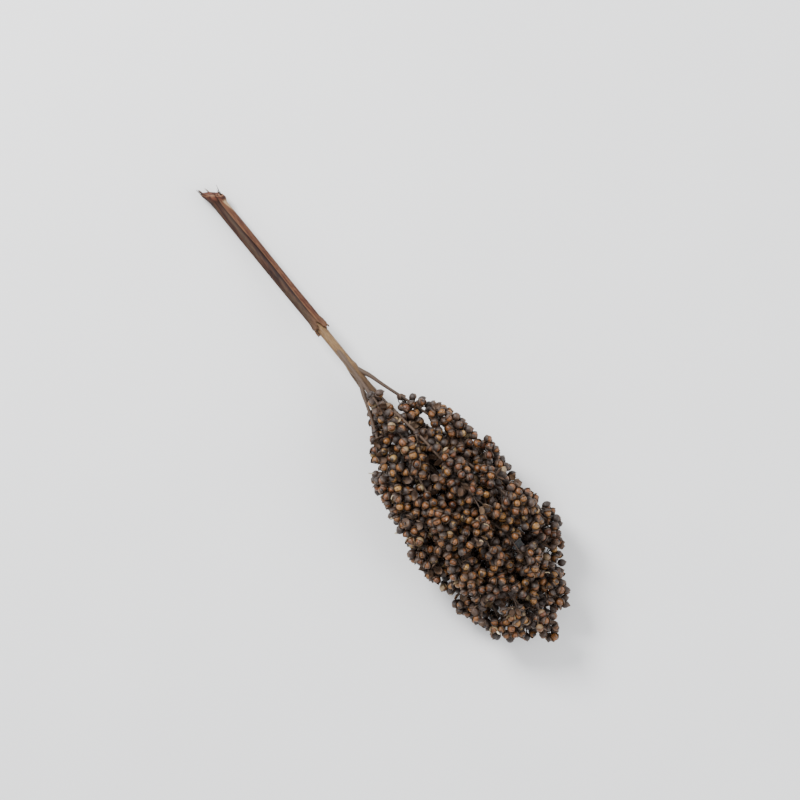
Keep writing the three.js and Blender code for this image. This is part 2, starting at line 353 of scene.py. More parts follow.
def grain_material():
    look = Look("grain")
    tone, along, shade = look.looks()
    skin_colour = look.ramp(
        tone, (0.0, (0.072, 0.020, 0.009)), (0.22, (0.135, 0.041, 0.013)), (0.5, (0.215, 0.083, 0.020)),
        (0.75, (0.29, 0.135, 0.031)), (0.9, (0.36, 0.20, 0.062)), (1.0, (0.42, 0.29, 0.13)))
    blotch = look.noise(look.scaled(1, 1, 0.7), 0.9, 4.0, 0.6)
    fine = look.noise(look.scaled(1, 1, 0.6), 4.5, 3.0)
    mottled = look.tint(skin_colour, (0.060, 0.021, 0.010), blotch, (0.42, 0.0), (0.68, 0.7))
    speckled = look.tint(mottled, (0.42, 0.23, 0.082), fine, (0.55, 0.0), (0.72, 0.3))
    shaded = look.mix(0.75, speckled, look.ramp(shade, (0.0, 0.45), (1.0, 1.0)), "MULTIPLY")
    low = look.tint(shaded, (0.06, 0.022, 0.012), along, (0.15, 0.85), (0.5, 0.0))
    apex = look.sums("ADD", along, look.ramp(shade, (0.40, 0.13), (0.46, 0.0)))
    scar = look.tint(low, (0.016, 0.009, 0.007), apex, (0.925, 0.0), (0.96, 0.92))
    rough = look.ramp(fine, (0.3, 0.28), (0.7, 0.44))
    uneven, pitted = (look.ramp(noise, (0.3, 0.0), (0.7, 1.0)) for noise in (blotch, fine))
    height = look.mix(0.5, uneven, pitted)
    return look.finish(scar, rough, height, 0.10)


def husk_material():
    look = Look("husk")
    tone, along, inner = look.looks()
    dark = look.ramp(
        tone, (0.0, (0.011, 0.008, 0.007)), (0.35, (0.022, 0.013, 0.010)), (0.6, (0.042, 0.022, 0.014)),
        (0.82, (0.085, 0.044, 0.024)), (0.93, (0.20, 0.125, 0.062)), (1.0, (0.38, 0.28, 0.15)))
    veins = look.noise(look.scaled(5.0, 5.0, 0.7), 1.0, 3.0)
    cloud = look.noise(look.scaled(1, 1, 1), 0.6, 3.0)
    streaked = look.tint(dark, (0.115, 0.062, 0.034), veins, (0.45, 0.0), (0.75, 0.55))
    clouded = look.tint(streaked, (0.016, 0.010, 0.008), cloud, (0.4, 0.0), (0.7, 0.5))
    tip = look.tint(clouded, (0.17, 0.10, 0.052), along, (0.82, 0.0), (1.0, 0.5))
    lined = look.mix(look.sums("MULTIPLY", inner, 0.55), tip, (0.13, 0.068, 0.034))
    return look.finish(lined, look.ramp(veins, (0.3, 0.40), (0.7, 0.68)), veins, 0.12)


def twig_material():
    look = Look("stem")
    tone, along, _ = look.looks()
    bark = look.ramp(
        tone, (0.0, (0.024, 0.014, 0.010)), (0.5, (0.060, 0.034, 0.021)), (1.0, (0.14, 0.088, 0.050)))
    streaks = look.noise(look.scaled(2.5, 2.5, 0.25), 1.0, 4.0)
    marked = look.tint(bark, (0.11, 0.068, 0.038), streaks, (0.42, 0.0), (0.72, 0.7))
    aged = look.tint(marked, (0.085, 0.052, 0.029), along, (0.0, 0.6), (0.35, 0.0))
    return look.finish(aged, look.ramp(streaks, (0.3, 0.55), (0.7, 0.8)), streaks, 0.15)


def chaff_material():
    look = Look("chaff")
    tone, along, _ = look.looks()
    straw = look.ramp(
        tone, (0.0, (0.36, 0.25, 0.13)), (0.6, (0.60, 0.48, 0.30)), (1.0, (0.76, 0.68, 0.50)))
    veins = look.noise(look.scaled(4, 4, 0.6), 1.0, 3.0)
    marked = look.tint(straw, (0.28, 0.18, 0.09), veins, (0.45, 0.0), (0.75, 0.6))
    return look.finish(marked, look.ramp(veins, (0.3, 0.5), (0.7, 0.75)), veins, 0.1)


def stalk_material():
    """looks holds how far up the head it is, how far out on the cut face, and where the joint is."""
    look = Look("stalk")
    up_head, out, joint = look.looks()
    streaks = look.noise(look.scaled(0.05, 1.9, 1.9), 1.0, 5.0, 0.6)
    straw = look.tint((0.24, 0.150, 0.068), (0.085, 0.044, 0.022), streaks, (0.35, 0.0), (0.68, 1.0))
    cloud = look.noise(look.scaled(0.05, 0.3, 0.3), 1.0, 3.0)
    shaded = look.tint(straw, (0.11, 0.052, 0.028), cloud, (0.4, 0.0), (0.7, 0.5))
    bark = look.tint(shaded, (0.034, 0.019, 0.012), up_head, (0.0, 0.0), (0.18, 0.85))

    patches = look.noise(look.scaled(0.35, 0.45, 0.45), 1.0, 4.0, 0.65)
    brick = look.tint((0.085, 0.022, 0.014), (0.24, 0.105, 0.055), patches, (0.45, 0.0), (0.66, 1.0))
    jointed = look.tint(bark, brick, joint, (0.25, 0.0), (0.6, 0.95))
    lined = look.tint(jointed, (0.25, 0.135, 0.078), joint, (0.80, 0.0), (0.86, 0.8))

    bundles = look.noise(look.scaled(0.0, 2.6, 2.6), 1.0, 2.0)
    pith = look.tint((0.150, 0.052, 0.030), (0.070, 0.020, 0.013), bundles, (0.56, 0.0), (0.64, 0.7))
    stains = look.noise(look.scaled(0.3, 0.33, 0.33), 1.0, 3.0, 0.6)
    stained = look.tint(pith, (0.032, 0.007, 0.006), stains, (0.42, 0.0), (0.52, 0.95))
    rind = look.tint(stained, (0.10, 0.034, 0.021), out, (0.78, 0.0), (0.90, 0.9))

    on_face = look.ramp(out, (0.01, 0.0), (0.02, 1.0))
    colour = look.mix(on_face, lined, rind)
    rough = look.mix(on_face, look.ramp(streaks, (0.3, 0.42), (0.7, 0.66)), (0.92, 0.92, 0.92))
    return look.finish(colour, rough, streaks, 0.18, specular=0.25)


def sheath_material():
    """looks holds how far round the sheath it is, how far up, and a random shade for its shreds."""
    look = Look("sheath")
    round_it, up_it, shade = look.looks()
    streaks = look.noise(look.scaled(0.035, 0.95, 0.95), 1.0, 6.0, 0.72)
    fine = look.noise(look.scaled(0.09, 2.7, 2.7), 1.0, 4.0, 0.65)
    broad = look.noise(look.scaled(0.035, 0.40, 0.40), 1.0, 3.0)

    dull = look.tint((0.011, 0.0045, 0.0040), (0.080, 0.035, 0.021), streaks, (0.41, 0.0), (0.60, 1.0))
    washed = look.tint(dull, (0.066, 0.043, 0.027), broad, (0.46, 0.0), (0.56, 0.75))
    scored = look.tint(washed, (0.020, 0.0090, 0.0065), fine, (0.38, 0.7), (0.52, 0.0))
    # Painted shadow: a dark line beside the lap's edge, where the overlapping margin would shade the
    # layer under it
    painted_lap_shadow = look.tint(scored, (0.014, 0.0055, 0.0050), round_it, (0.105, 0.9), (0.150, 0.0))

    # The margin that laps over, which is more copper
    margin = look.tint((0.050, 0.014, 0.009), (0.150, 0.066, 0.033), streaks, (0.40, 0.0), (0.60, 1.0))
    grained = look.tint(margin, (0.036, 0.011, 0.008), fine, (0.36, 0.6), (0.52, 0.0))
    edged = look.tint(painted_lap_shadow, grained, round_it, (0.80, 0.0), (0.85, 0.95))

    # A bare straw-coloured strip near the foot, narrower further up
    leaning = look.sums("ADD", round_it, look.sums("MULTIPLY", up_it, 0.7))
    strip = look.ramp(leaning, (0.84, 0.0), (0.88, 1.0), (0.970, 1.0), (0.995, 0.0))
    bare = look.ramp(up_it, (0.025, 0.0), (0.05, 1.0), (0.10, 0.9), (0.16, 0.0))
    straw = look.tint((0.27, 0.165, 0.085), (0.44, 0.31, 0.17), fine, (0.40, 0.0), (0.58, 1.0))
    cream = look.mix(look.sums("MULTIPLY", strip, bare), edged, straw)
    pale = look.tint(cream, (0.22, 0.13, 0.070), round_it, (0.988, 0.0), (0.994, 0.4))

    # The foot, the cut and the dried upper end
    patches = look.noise(look.scaled(0.25, 0.6, 0.6), 1.0, 4.0, 0.65)
    brick = look.tint((0.026, 0.008, 0.006), (0.110, 0.034, 0.019), patches, (0.44, 0.0), (0.60, 1.0))
    foot = look.tint(pale, brick, up_it, (0.018, 0.9), (0.045, 0.0))
    cut = look.tint(foot, (0.24, 0.120, 0.068), up_it, (0.0, 0.75), (0.006, 0.0))
    dried = look.tint(cut, (0.13, 0.066, 0.034), up_it, (0.90, 0.0), (1.0, 0.7))
    toned = look.mix(0.9, dried, look.ramp(shade, (0.0, 0.12), (0.8, 1.0)), "MULTIPLY")
    rough = look.ramp(streaks, (0.3, 0.48), (0.7, 0.68))
    return look.finish(toned, rough, streaks, 0.22, specular=0.18)


def floor_material():
    look = Look("pale_floor")
    cloud = look.noise(look.node("ShaderNodeTexCoord").outputs["Object"], 9.0, 2.0)
    colour = look.ramp(cloud, (0.3, 0.89), (0.7, 0.92))
    rough = look.ramp(cloud, (0.3, 0.72), (0.7, 0.78))
    return look.finish(colour, rough, cloud, 0.02, specular=0.2)


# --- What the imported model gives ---

def points_of(node):
    """A node's own points in mm, each once."""
    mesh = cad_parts[node].data
    found = np.zeros(len(mesh.vertices) * 3, np.float32)
    mesh.vertices.foreach_get("co", found)
    return np.unique(np.round(found.reshape(-1, 3) / MM, 3), axis=0).astype(float)


class Line:
    """A smooth line that runs along X: its Y and Z are polynomials fitted to points round it."""

    def __init__(self, points, weights, degree):
        self.low, self.high = points[:, 0].min(), points[:, 0].max()
        share = self.share(points[:, 0])
        fit = np.polynomial.Polynomial.fit
        self.y, self.z = (fit(share, points[:, i], degree, domain=[0, 1], w=weights) for i in (1, 2))

    def share(self, x):
        return (np.asarray(x, float) - self.low) / (self.high - self.low)

    def at(self, x):
        share = self.share(x)
        return np.stack([np.asarray(x, float) + 0 * share, self.y(share), self.z(share)], -1)

    def along(self, x):
        return unit(self.at(np.asarray(x) + 0.5) - self.at(np.asarray(x) - 0.5))


def slant_at(x, cut):
    """How much of the cut's slant is left at x: all of it at the cut, none beyond its reach."""
    return 1 - eased(np.clip((x - cut) / CUT_REACH, 0, 1))


def straightened(points):
    """The stalk's points with the slant of its cut end taken out again, and its line."""
    straight, line = points, Line(points, None, 7)
    for _ in range(12):
        apart = np.linalg.norm(straight - line.at(straight[:, 0]), axis=1)
        cut = straight[apart < 1.2, 0].min()
        across = (points - line.at(straight[:, 0]))[:, 1:] @ CUT_SLANT
        straight = np.column_stack([points[:, 0] - slant_at(straight[:, 0], cut) * across, points[:, 1:]])
        line = Line(straight, None, 7)
    return straight, line


stalk_points, stalk_line = straightened(points_of("stalk"))
STALK_START, STALK_END = stalk_line.low, stalk_line.high
STALK_SIDES = 12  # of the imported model's stalk


def measured_radius():
    """The stalk's radius along X, from its points' distance to its line, without the ends' middles."""
    apart = np.linalg.norm(stalk_points - stalk_line.at(stalk_points[:, 0]), axis=1)
    kept = apart > 0.3
    order = np.argsort(stalk_points[kept, 0])
    rings = len(order) // STALK_SIDES
    return [values[kept][order][: rings * STALK_SIDES].reshape(rings, STALK_SIDES).mean(1)
            for values in (stalk_points[:, 0], apart)]


RING_X, RING_R = measured_radius()


def stalk_radius(x):
    return np.interp(x, RING_X, RING_R)


def tubes(paths, radii, sides):
    """Closed round stems along paths (..., count, 3), with radii (..., count)."""
    ahead = unit(np.gradient(paths, axis=-2))
    side = unit(np.cross(ahead, np.array([0.31, 0.22, 0.93])))
    other = np.cross(ahead, side)
    angle = np.arange(sides)[:, None] * 2 * math.pi / sides
    ring = side[..., None, :] * np.cos(angle) + other[..., None, :] * np.sin(angle)
    rings = paths[..., None, :] + ring * np.asarray(radii)[..., None, None]
    reach = np.asarray(radii)[..., None] * 0.5
    return skin(rings, paths[..., 0, :] - ahead[..., 0, :] * reach[..., 0, :],
                paths[..., -1, :] + ahead[..., -1, :] * reach[..., -1, :])


# --- Stalk and sheath ---

def around_stalk(x, angle, radius):
    """The point at an angle from +Y round the stalk, and a distance from its line."""
    centre = stalk_line.at(x)
    ahead = stalk_line.along(x)
    side = unit(np.cross(UP, ahead))
    over = np.cross(ahead, side)
    offset = side * (radius * np.cos(angle))[..., None] + over * (radius * np.sin(angle))[..., None]
    offset[..., 0] += slant_at(x, STALK_START) * (offset[..., 1:] @ CUT_SLANT)
    return centre + offset


def stalk_piece(material):
    sides = 56
    x = np.concatenate([np.linspace(STALK_START + 0.25, STALK_START + 16, 46),
                        np.linspace(STALK_START + 17, STALK_END, 150)])
    angle = np.arange(sides) * 2 * math.pi / sides
    xs, angles = np.meshgrid(x, angle, indexing="ij")
    base = stalk_radius(xs)
    ridges = 0.045 * np.sin(19 * angles + 0.8 * np.sin(xs / 21)) + 0.03 * np.sin(11 * angles + xs / 34)
    lumps = 0.10 * np.sin(xs / 9.0 + 2 * angles) * np.sin(xs / 23.0)
    radius = base * (1 + 0.010 * np.sin(3 * angles + 1.3)) + ridges + lumps * 0.5
    head = np.clip((xs - HEAD_START) / (STALK_END - HEAD_START), 0, 1)
    from_whorl = (xs - HEAD_START) % WHORLS_APART - WHORLS_APART / 2
    swollen = 0.25 * base * np.exp(-(from_whorl / 2.2) ** 2)
    radius = radius + swollen * (head > 0) * (1 - head)
    uneven = 1 + 0.12 * np.sin(5 * angles + 1) + 0.08 * np.sin(13 * angles)
    joint = np.exp(-(((xs - STALK_START) / 1.5) ** 4)) * uneven
    sawn = []
    for share in FACE_RINGS:  # the cut face, slightly sunk in its soft middle
        dip = 0.25 + 0.5 * (1 - share) + 0.10 * np.sin(7 * angle + 9 * share)
        face_x = np.full(sides, STALK_START + 0.1) + dip * 0.6
        sawn.append(around_stalk(face_x, angle, radius[0] * share))
    rings = np.concatenate([np.stack(sawn), around_stalk(xs, angles, radius)])
    shape = skin(rings, stalk_line.at(STALK_START + 0.5), stalk_line.at(STALK_END + 0.6))
    on_face = np.zeros((len(FACE_RINGS), sides))
    out = np.concatenate([FACE_RINGS[:-1], [1.0], np.zeros(len(x))])
    looks = np.zeros((len(shape.points), 3))
    looks[1:-1, 0] = np.concatenate([on_face, head]).ravel()
    looks[1:-1, 1] = np.repeat(out, sides)
    looks[0, 1] = 0.05
    looks[-1, 0] = 1
    looks[1:-1, 2] = np.concatenate([on_face, np.clip(joint, 0, 1)]).ravel()
    piece = Piece()
    piece.add(shape, looks, shape.points)
    piece.make("stalk_detail", material, "stalk", "stalk")


def torn_end(angle, depth):
    """A ragged edge: deep splits between the veins, with finer teeth."""
    splits = np.sin(3 * angle) + 0.6 * np.sin(7 * angle + 1) + 0.5 * np.abs(np.sin(12.5 * angle)) ** 3
    return depth * (splits + 0.22 * np.sin(31 * angle) + 0.12 * np.sin(67 * angle + 2))


def sheath_piece(material):
    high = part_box("leaf_sheath")[1][0] / MM
    up, wrap = grid(150, 150, first=0)
    wander = np.radians(5) * np.sin(up * 9) * wrap ** 8
    angle = SHEATH_EDGE - SHEATH_WRAP * (1 - wrap) + wander
    foot = STALK_START + 1.0 + 0.3 * np.sin(9 * angle) + 0.25 * np.sin(23 * angle)
    top = high - TORN_BELOW + torn_end(angle, TORN_DEPTH)
    x = foot + (top - foot) * up
    turn = eased(np.clip((wrap - 0.1) / 0.85, 0, 1))
    veins = 0.055 * np.sin(58 * angle + 0.9 * np.sin(x / 19)) + 0.035 * np.sin(29 * angle + x / 40)
    lift = 0.55 * np.clip((wrap - 0.93) / 0.07, 0, 1) ** 2 * (0.6 + 0.4 * np.sin(x / 6.5))
    foot_flare = 0.35 * np.exp(-((up / 0.03) ** 2)) * (1 + np.sin(4 * angle))
    torn_flare = 0.8 * np.clip((up - 0.93) / 0.07, 0, 1) ** 2 * np.abs(np.sin(6 * angle))
    layers = SHEATH_GAP + (SHEATH_THICKNESS + 0.3) * turn
    inner = stalk_radius(x) + layers + lift + (foot_flare + torn_flare)
    thickness = SHEATH_THICKNESS * np.minimum(1, 0.35 + np.minimum(wrap, 1 - wrap) * 14)
    outer = inner + thickness + veins + 0.07 * np.sin(x / 11 + 3 * angle)
    shape = slab(around_stalk(x, angle, outer), around_stalk(x, angle, inner))
    looks = np.stack([wrap, up, np.full_like(up, 0.8)], -1).reshape(-1, 3)
    piece = Piece()
    piece.add(shape, np.concatenate([looks, looks]), shape.points)
    for i in range(SHREDS):  # torn from the sheath and the rind round the cut
        shred = shred_shape(i)
        drawn = rng.random()
        shade = np.array([0.2, 0.025 * drawn, 0.35 + 0.65 * drawn])
        piece.add(shred, shade, shred.points * np.array([0.4, 1, 1]))
    piece.make("sheath_detail", material, "sheath", "leaf_sheath")


def shred_shape(i):
    """A splinter that stands out from the cut's rim, mostly on the side that was cut last."""
    long, wide = rng.uniform(1.2, 3.4), rng.uniform(0.5, 1.6)
    along, across = grid(7, 4)
    x = STALK_START + rng.uniform(0.6, 2.6) - long * along
    angle = rng.normal(math.pi * 0.95, 0.55) if i % 3 else rng.uniform(0, 2 * math.pi)
    narrow = (1 - 0.9 * along ** 2) * wide / 2
    standing = 0.3 + 1.5 * along ** 2 * rng.random() + 0.3 * along * np.abs(across) * rng.random()
    radius = stalk_radius(x.clip(STALK_START + 0.2)) + standing
    angles = angle + across * narrow / radius + rng.uniform(-0.3, 0.3) * along
    inner = around_stalk(x, angles, radius)
    outer = around_stalk(x, angles, radius + 0.26 * (1 - 0.6 * along))
    inner[..., 2] = inner[..., 2].clip(0.05)
    outer[..., 2] = outer[..., 2].clip(0.15)
    return slab(outer, inner)


def fibres_piece(material):
    """Loose fibres torn from the rind at the cut: two long ones beside the stalk, and a few short."""
    ends = list(LONG_FIBRES)
    for _ in range(5):
        side = rng.choice([-1, 1])
        start = side * CUT_RADIUS * CUT_SLANT[0] + rng.uniform(-0.5, 1.5)
        end = (start - rng.uniform(1.2, 3.0), side * rng.uniform(3.6, 5.4))
        ends.append(((start, side * CUT_RADIUS), end, None))
    piece = Piece()
    s = np.linspace(0, 1, 9)[:, None]
    middle = stalk_line.at(STALK_START)
    for start, end, held in ends:
        drawn = (rng.uniform(-0.5, 1.6), rng.uniform(0.3, 1.6))
        low, rise = held or drawn
        first = middle + np.array([*start, low])
        last = middle + np.array([*end, low + rise])
        curl = unit(rng.normal(size=3)) * rng.uniform(0.1, 0.35)
        path = first * (1 - s) + last * s + curl * np.sin(s * math.pi)
        shape = tubes(path, 0.21 * (1 - 0.6 * s[:, 0]), 6)
        piece.add(shape, np.array([0.25, 0.5, 0.12]), shape.points)
    piece.make("torn_fibres", material, "sheath")


# --- One spikelet's parts, pointing up +Z from its base at the origin ---

def grain_shape(around, rows, wide, thick, tall, skew):
    polar = math.pi * np.arange(1, rows) / rows
    turn = np.arange(around) * 2 * math.pi / around
    p, t = np.meshgrid(polar, turn, indexing="ij")
    point = 0.10 * np.exp(-(((math.pi - p) / 0.5) ** 2))
    flat = 1 - 0.07 * np.cos(2 * t) * np.sin(p)
    body = np.stack([
        wide * np.sin(p) * np.cos(t) * flat,
        thick * np.sin(p) * np.sin(t) * (1 + skew * np.sin(t)),
        tall * (1 - np.cos(p)) + point,
    ], -1)
    return skin(body, np.zeros(3), np.array([0, 0, 2 * tall + 0.14]))


def on_ball(turn, polar):
    """The point of a ball of radius 1, with polar measured up from its lowest point."""
    out = np.sin(polar)
    return np.stack([out * np.cos(turn), out * np.sin(turn), -np.cos(polar) + 0 * turn], -1)


# A husk's rings go across its outside and back across its inside.
HUSK_ROWS = 8
HUSK_ACROSS = np.array([-1, -0.6, -0.2, 0.2, 0.6, 1, 0.6, 0.2, -0.2, -0.6])
HUSK_OUTSIDE = np.array([0.5, 1, 1, 1, 1, 0.5, 0, 0, 0, 0])


def husk_shape(side, reach, cover, flare):
    """One boat-shaped husk clasping a grain from one side.

    reach is how far up the grain it comes, in degrees from the base, and cover is half its width.
    """
    v = (np.arange(1, HUSK_ROWS) / HUSK_ROWS)[:, None]
    spread = math.radians(cover) * (1 - 0.82 * v ** 5)
    polar = math.radians(6) + math.radians(reach - 6) * v
    proud = 0.10 + 0.17 * HUSK_OUTSIDE * (1 - 0.5 * v) + flare * v ** 3
    radius = GRAIN_RADIUS * np.array([1.03, 0.95, 1.0]) + proud[..., None]
    body = on_ball(side + HUSK_ACROSS * spread, polar) * radius + np.array([0, 0, GRAIN_RADIUS])
    body[..., 2] += 0.35 * v ** 4
    end = on_ball(side, math.radians(reach + 5))
    end = end * (GRAIN_RADIUS * 1.02 + 0.16 + flare * 1.15) + np.array([0, 0, GRAIN_RADIUS + 0.5])
    return skin(body, np.array([0, 0, -0.25]), end)


def how_far_along(shape, around):
    """Each point's place between a skin's start, 0, and its end, 1."""
    rows = (len(shape.points) - 2) // around
    return np.concatenate([[0], np.repeat(np.arange(1, rows + 1) / (rows + 1), around), [1]])


HUSK_INSIDES = np.concatenate([[0], np.tile([0.3, 0, 0, 0, 0, 0.3, 1, 1, 1, 1], HUSK_ROWS - 1), [0.3]])
AROUND_GRAIN, AROUND_INNER = 16, 8
GRAIN_FORMS = (
    (1.0, 0.92, 0.98, 0.03), (1.04, 0.95, 1.02, -0.02), (0.97, 0.90, 1.06, 0.05), (1.0, 0.98, 0.94, 0.0))
GRAINS = [grain_shape(AROUND_GRAIN, 10, *(GRAIN_RADIUS * share for share in form[:3]), form[3])
          for form in GRAIN_FORMS]
INNER_GRAIN = grain_shape(AROUND_INNER, 6, GRAIN_RADIUS, GRAIN_RADIUS * 0.93, GRAIN_RADIUS, 0.02)
PAIRS = {  # the two husks of each kind of spikelet
    "closed": (husk_shape(0, 150, 92, 0.12), husk_shape(math.pi, 142, 88, 0.20)),
    "half": (husk_shape(0, 134, 90, 0.30), husk_shape(math.pi, 126, 86, 0.42)),
    "short": (husk_shape(0, 118, 86, 0.42), husk_shape(math.pi, 110, 82, 0.50)),
    "open": (husk_shape(0, 112, 74, 1.20), husk_shape(math.pi, 104, 70, 1.40)),
}
KINDS = list(PAIRS)
SHARES = (0.22, 0.46, 0.24, 0.08)  # of the spikelets that are of each kind


# --- Where the seeds go ---

class Spots:
    """Points filed by the cell of space that they are in, to find those that are near."""

    def __init__(self, cell):
        self.cell, self.files = cell, {}

    def key(self, p):
        return tuple(int(math.floor(c / self.cell)) for c in p)

    def near(self, p):
        for cell in product(*((i - 1, i, i + 1) for i in self.key(p))):
            yield from self.files.get(cell, ())

    def clear(self, p, apart, skip=None):
        x, y, z = p
        limit = apart * apart
        return all(
            tag == skip or (a - x) ** 2 + (b - y) ** 2 + (c - z) ** 2 >= limit
            for a, b, c, tag in self.near(p))

    def add(self, p, tag=0):
        self.files.setdefault(self.key(p), []).append((*p, tag))


class Finger:
    """A finger of seeds: the solid that it fills, and the line of its branch."""

    def __init__(self, number):
        self.tip = number > FINGERS
        self.label = "tip" if self.tip else f"{number:02d}"
        self.node = "tip_seeds" if self.tip else f"seeds_{number:02d}"
        body = points_of(self.node)
        if self.tip:
            self.line = Line(body, None, 2)
            self.start = self.line.low
        else:
            stem = points_of(f"branch_{number:02d}")
            weights = np.concatenate([np.full(len(stem), 3.0), np.full(len(body), 0.5)])
            self.line = Line(np.concatenate([stem, body]), weights, 4)
            self.start = stem[:, 0].min()
        self.seeds_from, self.end = body[:, 0].min(), body[:, 0].max()
        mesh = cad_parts[self.node].data
        mesh.calc_loop_triangles()
        corners = np.array([v.co for v in mesh.vertices]) / MM
        tris = np.array([t.vertices for t in mesh.loop_triangles])
        a, b, c = (corners[tris[:, i]] for i in range(3))
        normals = np.cross(b - a, c - a)
        self.areas = np.linalg.norm(normals, axis=1) / 2
        self.normals, self.tris = unit(normals), (a, b, c)
        self.tree = BVHTree.FromPolygons([Vector(p) for p in corners], [tuple(t) for t in tris])

    def candidates(self, many):
        """Random points on the solid's surface, with the way out and the way forward at each."""
        pick = rng.choice(len(self.areas), many, p=self.areas / self.areas.sum())
        u, v = rng.random((2, many))
        over = u + v > 1
        u[over], v[over] = 1 - u[over], 1 - v[over]
        a, b, c = (t[pick] for t in self.tris)
        points = a + (b - a) * u[:, None] + (c - a) * v[:, None]
        middle = self.line.at(points[:, 0].clip(self.seeds_from + 2, self.end - 2))
        out = unit(0.45 * self.normals[pick] + 0.75 * unit(points - middle))
        return points, out, self.line.along(points[:, 0])

    def deep(self, p):
        """How far inside the solid a point is, below 0 outside it."""
        at, normal, _, away = self.tree.find_nearest(Vector(p))
        return away if (Vector(p) - at).dot(normal) < 0 else -away


def in_gap(middle, way):
    """True between the fingers and the head's axis, past the bare stems at the head's base."""
    if not HEAD_START + BARE_BASE < middle[0] < STALK_END + 8:
        return False
    across = middle - stalk_line.at(min(middle[0], STALK_END))
    away = np.linalg.norm(across)
    return away > CLEAR_OF_AXIS and float(way @ across) < 0.1 * away


def scatter(fingers):
    """Places the grains: in an outer layer, then in an inner one and in the gaps where there is room.

    A pass tries so many places for each square mm of the finger.
    """
    spots = Spots(APART)
    seeds = []
    passes = (
        (SKIN_DEPTH, APART, 1.6, True),
        (INNER_DEPTH, APART_INSIDE, 0.9, False),
        (-GAP_DEPTH, APART, 0.7, True))
    for depth, apart, density, outer in passes:
        for number, finger in enumerate(fingers):
            points, out, forward = finger.candidates(int(finger.areas.sum() * density))
            middles = points - out * depth
            for middle, way, ahead in zip(middles, out, forward):
                middle = middle.copy()
                if middle[2] < 0.3:
                    continue
                middle[2] = max(middle[2], LOWEST_MIDDLE)
                if not outer and finger.deep(middle) < INSIDE_BY:
                    continue
                if depth < 0 and not in_gap(middle, way):
                    continue
                if spots.clear(middle, apart):
                    spots.add(middle)
                    if depth < 0:
                        way = unit(middle - stalk_line.at(min(middle[0], STALK_END - 20)))
                    tilt = way + (0.42 if outer else 0.9) * ahead + rng.normal(size=3) * 0.20
                    seeds.append(Seed(number, middle, unit(tilt), way, outer))
    return seeds


def racemes(own):
    """Groups a finger's grains. Gives each grain's group, and each group's middle and way out."""
    middles = np.array([seed.middle for seed in own])
    heads = []
    for i in rng.permutation(len(own)):
        if all(np.linalg.norm(middles[i] - middles[j]) > RACEME_APART for j in heads):
            heads.append(i)
    apart = np.linalg.norm(middles[:, None] - middles[heads][None], axis=2)
    group = apart.argmin(1)
    centres = np.array([middles[group == g].mean(0) for g in range(len(heads))])
    outs = np.array([seed.out for seed in own])
    return group, centres, unit(np.array([outs[group == g].mean(0) for g in range(len(heads))]))


def lifts(finger, centres, outs):
    """How far each raceme stands out of its finger: mostly little, and a few well out of the head."""
    moved = []
    for centre, out in zip(centres, outs):
        radial = unit(centre - stalk_line.at(min(centre[0], STALK_END)))
        amount = rng.uniform(-0.9, 0.9)
        if float(out @ radial) > 0.2 and centre[2] > 7.5:
            draw = rng.random()
            if draw < SHARE_RAISED:
                amount = rng.uniform(1.4, 3.6)
            if draw < SHARE_REACHING:
                amount = rng.uniform(3.8, 7.6)
        moved.append(unit(0.62 * out + 0.78 * finger.line.along(centre[0])) * amount)
    return np.array(moved)


def frames_for(ways, spins):
    """Turns that take +Z to each way, with a spin about it."""
    helper = np.where(np.abs(ways[:, 2:]) < 0.9, UP, np.array([1.0, 0, 0]))
    side = unit(np.cross(helper, ways))
    other = np.cross(ways, side)
    cos, sin = np.cos(spins)[:, None], np.sin(spins)[:, None]
    return np.stack([side * cos + other * sin, other * cos - side * sin, ways], 2)


def placed(shape, bases, turns, sizes):
    points = np.einsum("kij,pj->kpi", turns, shape.points) * sizes[:, None, None] + bases[:, None]
    return Shape(points, shape.faces, shape.corners)


def sunken(shape):
    """How far each skin reaches below the surface it lies on."""
    return np.minimum(shape.points[..., 2].min(-1) - 0.04, 0)


def spread_over(shape, *values):
    """looks for skins placed from one shape. Each value is one for each skin, or one for each point."""
    return np.stack([np.broadcast_to(value, shape.points.shape[:2]) for value in values], -1)


